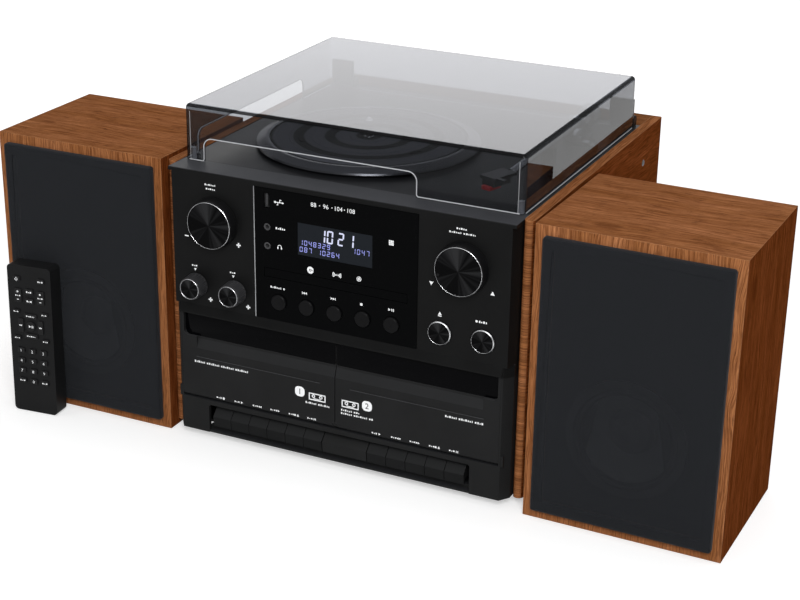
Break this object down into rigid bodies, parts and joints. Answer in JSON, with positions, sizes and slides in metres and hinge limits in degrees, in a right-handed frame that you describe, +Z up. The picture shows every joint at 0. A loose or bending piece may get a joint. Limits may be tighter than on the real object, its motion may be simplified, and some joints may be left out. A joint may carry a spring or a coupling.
{
  "type": "stereo music centre",
  "caption": "Wooden-sided stereo music centre: record player under a smoked lid, radio and disc front, twin cassette decks with piano keys, two speakers and a remote control.",
  "frame": {"origin": "on the table, under the middle of the wooden cabinet", "axes": "+X to the right seen from the front, +Y to the back, +Z up"},
  "size_m": [0.69, 0.3769, 0.3045],
  "materials": {
    "oak_veneer": "satin",
    "back_board": "matt",
    "steel_sheet": "satin",
    "rubber_feet": "matt",
    "black_moulding": "fine grain",
    "gloss_black": "gloss",
    "display_glass": "gloss",
    "socket_metal": "polished",
    "spindle_steel": "polished",
    "motor_can": "satin",
    "belt_rubber": "matt",
    "chassis_plastic": "matt",
    "chassis_steel": "satin",
    "board_green": "satin",
    "transformer_iron": "satin",
    "rear_black": "matt",
    "grille_cloth": "woven",
    "woofer_paper": "matt",
    "remote_black": "fine grain",
    "remote_rubber": "matt",
    "smoked_acrylic": "clear gloss",
    "hinge_black": "satin",
    "platter_metal": "turned",
    "mat_rubber": "matt",
    "pulley_brass": "turned",
    "arm_metal": "satin",
    "cartridge_plastic": "satin",
    "knob_black": "satin",
    "spun_cap": "spun"
  },
  "bodies": {
    "cabinet": {"side_panels": "oak_veneer", "rear_rail": "oak_veneer", "back_cover": "back_board", "base_plate": "steel_sheet", "feet": "rubber_feet", "front_panel": "black_moulding", "display_panel": "gloss_black", "lcd_module": "display_glass", "front_sockets": "socket_metal", "deck_plate": "black_moulding", "platter_spindle": "spindle_steel", "turntable_motor": "motor_can", "drive_belt": "belt_rubber", "cd_mechanism": "chassis_plastic", "cassette_mechanisms": "chassis_steel", "circuit_boards": "board_green", "transformer": "transformer_iron", "rear_sockets": "rear_black", "speaker_box_left": "oak_veneer", "speaker_box_right": "oak_veneer", "speaker_grilles": "grille_cloth", "woofers": "woofer_paper", "remote_case": "remote_black", "remote_keys": "remote_rubber"},
    "dust_cover": {"dust_cover": "smoked_acrylic", "lid_hinge_arms": "hinge_black"},
    "platter": {"platter": "platter_metal", "platter_mat": "mat_rubber"},
    "tonearm": {"tonearm": "arm_metal", "cartridge": "cartridge_plastic"},
    "motor_pulley": {"motor_pulley": "pulley_brass"},
    "tonearm_gimbal": {"tonearm_gimbal": "arm_metal"},
    "cue_lever": {"cue_lever": "arm_metal"},
    "speed_switch": {"speed_switch": "knob_black"},
    "volume_knob": {"volume_knob": "knob_black"},
    "scroll_knob": {"scroll_knob": "knob_black"},
    "bass_knob": {"bass_knob": "knob_black"},
    "treble_knob": {"treble_knob": "knob_black"},
    "eject_button": {"eject_button": "spun_cap"},
    "record_button": {"record_button": "spun_cap"},
    "info_button": {"info_button": "knob_black"},
    "previous_button": {"previous_button": "knob_black"},
    "next_button": {"next_button": "knob_black"},
    "stop_button": {"stop_button": "knob_black"},
    "play_button": {"play_button": "knob_black"},
    "cd_drawer": {"cd_drawer": "black_moulding"},
    "cassette_door_left": {"cassette_door_left": "black_moulding"},
    "cassette_door_right": {"cassette_door_right": "black_moulding"},
    "key1_record": {"key1_record": "knob_black"},
    "key1_play": {"key1_play": "knob_black"},
    "key1_rewind": {"key1_rewind": "knob_black"},
    "key1_forward": {"key1_forward": "knob_black"},
    "key1_stop": {"key1_stop": "knob_black"},
    "key1_pause": {"key1_pause": "knob_black"},
    "key2_play": {"key2_play": "knob_black"},
    "key2_rewind": {"key2_rewind": "knob_black"},
    "key2_forward": {"key2_forward": "knob_black"},
    "key2_stop": {"key2_stop": "knob_black"},
    "key2_pause": {"key2_pause": "knob_black"},
    "remote_battery_cover": {"remote_battery_cover": "remote_black"}
  },
  "joints": [
    {"name": "lid_hinge", "type": "hinge", "parent": "cabinet", "child": "dust_cover", "pos_m": [0, 0.1251, 0.2595], "axis": [-1, 0, 0], "range_deg": [0, 70]},
    {"name": "platter_spin", "type": "hinge", "parent": "cabinet", "child": "platter", "pos_m": [-0.038, -0.038, 0.2553], "axis": [0, 0, 1], "continuous": true},
    {"name": "motor_spin", "type": "hinge", "parent": "cabinet", "child": "motor_pulley", "pos_m": [0.01503, 0.01503, 0.2445], "axis": [0, 0, 1], "continuous": true},
    {"name": "tonearm_swing", "type": "hinge", "parent": "cabinet", "child": "tonearm_gimbal", "pos_m": [0.127, 0.056, 0.273], "axis": [0, 0, -1], "range_deg": [0, 42]},
    {"name": "tonearm_lift", "type": "hinge", "parent": "tonearm_gimbal", "child": "tonearm", "pos_m": [0.127, 0.056, 0.273], "axis": [-1, 0, 0], "range_deg": [0, 6]},
    {"name": "cue_lever_turn", "type": "hinge", "parent": "cabinet", "child": "cue_lever", "pos_m": [0.146, 0.036, 0.2589], "axis": [1, 0, 0], "range_deg": [0, 18]},
    {"name": "speed_switch_slide", "type": "slide", "parent": "cabinet", "child": "speed_switch", "axis": [0, 1, 0], "range_m": [0, 0.014]},
    {"name": "volume_turn", "type": "hinge", "parent": "cabinet", "child": "volume_knob", "pos_m": [-0.116, -0.178, 0.2105], "axis": [0, 1, 0], "continuous": true},
    {"name": "scroll_turn", "type": "hinge", "parent": "cabinet", "child": "scroll_knob", "pos_m": [0.116, -0.178, 0.2105], "axis": [0, 1, 0], "continuous": true},
    {"name": "bass_turn", "type": "hinge", "parent": "cabinet", "child": "bass_knob", "pos_m": [-0.1353, -0.178, 0.15], "axis": [0, 1, 0], "range_deg": [-140, 140]},
    {"name": "treble_turn", "type": "hinge", "parent": "cabinet", "child": "treble_knob", "pos_m": [-0.0967, -0.178, 0.15], "axis": [0, 1, 0], "range_deg": [-140, 140]},
    {"name": "eject_press", "type": "slide", "parent": "cabinet", "child": "eject_button", "axis": [0, 1, 0], "range_m": [0, 0.0015], "stiffness_N_per_m": 300},
    {"name": "record_press", "type": "slide", "parent": "cabinet", "child": "record_button", "axis": [0, 1, 0], "range_m": [0, 0.0015], "stiffness_N_per_m": 300},
    {"name": "info_press", "type": "slide", "parent": "cabinet", "child": "info_button", "axis": [0, 1, 0], "range_m": [0, 0.0015], "stiffness_N_per_m": 300},
    {"name": "previous_press", "type": "slide", "parent": "cabinet", "child": "previous_button", "axis": [0, 1, 0], "range_m": [0, 0.0015], "stiffness_N_per_m": 300},
    {"name": "next_press", "type": "slide", "parent": "cabinet", "child": "next_button", "axis": [0, 1, 0], "range_m": [0, 0.0015], "stiffness_N_per_m": 300},
    {"name": "stop_press", "type": "slide", "parent": "cabinet", "child": "stop_button", "axis": [0, 1, 0], "range_m": [0, 0.0015], "stiffness_N_per_m": 300},
    {"name": "play_press", "type": "slide", "parent": "cabinet", "child": "play_button", "axis": [0, 1, 0], "range_m": [0, 0.0015], "stiffness_N_per_m": 300},
    {"name": "drawer_slide", "type": "slide", "parent": "cabinet", "child": "cd_drawer", "axis": [0, -1, 0], "range_m": [0, 0.13]},
    {"name": "door_left_tilt", "type": "hinge", "parent": "cabinet", "child": "cassette_door_left", "pos_m": [0, -0.174, 0.0444], "axis": [1, 0, 0], "range_deg": [0, 26]},
    {"name": "door_right_tilt", "type": "hinge", "parent": "cabinet", "child": "cassette_door_right", "pos_m": [0, -0.174, 0.0444], "axis": [1, 0, 0], "range_deg": [0, 26]},
    {"name": "key1_record_press", "type": "hinge", "parent": "cabinet", "child": "key1_record", "pos_m": [0, -0.118, 0.024], "axis": [1, 0, 0], "range_deg": [0, 4], "stiffness_Nm_per_rad": 0.6, "springref_deg": -2.86},
    {"name": "key1_play_press", "type": "hinge", "parent": "cabinet", "child": "key1_play", "pos_m": [0, -0.118, 0.024], "axis": [1, 0, 0], "range_deg": [0, 4], "stiffness_Nm_per_rad": 0.6, "springref_deg": -2.86},
    {"name": "key1_rewind_press", "type": "hinge", "parent": "cabinet", "child": "key1_rewind", "pos_m": [0, -0.118, 0.024], "axis": [1, 0, 0], "range_deg": [0, 4], "stiffness_Nm_per_rad": 0.6, "springref_deg": -2.86},
    {"name": "key1_forward_press", "type": "hinge", "parent": "cabinet", "child": "key1_forward", "pos_m": [0, -0.118, 0.024], "axis": [1, 0, 0], "range_deg": [0, 4], "stiffness_Nm_per_rad": 0.6, "springref_deg": -2.86},
    {"name": "key1_stop_press", "type": "hinge", "parent": "cabinet", "child": "key1_stop", "pos_m": [0, -0.118, 0.024], "axis": [1, 0, 0], "range_deg": [0, 4], "stiffness_Nm_per_rad": 0.6, "springref_deg": -2.86},
    {"name": "key1_pause_press", "type": "hinge", "parent": "cabinet", "child": "key1_pause", "pos_m": [0, -0.118, 0.024], "axis": [1, 0, 0], "range_deg": [0, 4], "stiffness_Nm_per_rad": 0.6, "springref_deg": -2.86},
    {"name": "key2_play_press", "type": "hinge", "parent": "cabinet", "child": "key2_play", "pos_m": [0, -0.118, 0.024], "axis": [1, 0, 0], "range_deg": [0, 4], "stiffness_Nm_per_rad": 0.6, "springref_deg": -2.86},
    {"name": "key2_rewind_press", "type": "hinge", "parent": "cabinet", "child": "key2_rewind", "pos_m": [0, -0.118, 0.024], "axis": [1, 0, 0], "range_deg": [0, 4], "stiffness_Nm_per_rad": 0.6, "springref_deg": -2.86},
    {"name": "key2_forward_press", "type": "hinge", "parent": "cabinet", "child": "key2_forward", "pos_m": [0, -0.118, 0.024], "axis": [1, 0, 0], "range_deg": [0, 4], "stiffness_Nm_per_rad": 0.6, "springref_deg": -2.86},
    {"name": "key2_stop_press", "type": "hinge", "parent": "cabinet", "child": "key2_stop", "pos_m": [0, -0.118, 0.024], "axis": [1, 0, 0], "range_deg": [0, 4], "stiffness_Nm_per_rad": 0.6, "springref_deg": -2.86},
    {"name": "key2_pause_press", "type": "hinge", "parent": "cabinet", "child": "key2_pause", "pos_m": [0, -0.118, 0.024], "axis": [1, 0, 0], "range_deg": [0, 4], "stiffness_Nm_per_rad": 0.6, "springref_deg": -2.86},
    {"name": "battery_cover_slide", "type": "slide", "parent": "cabinet", "child": "remote_battery_cover", "axis": [0.0023, -0.0243, -0.9997], "range_m": [0, 0.006]}
  ],
  "couplings": [
    {"joint": "motor_spin", "follows": "platter_spin", "ratio": 12}
  ]
}
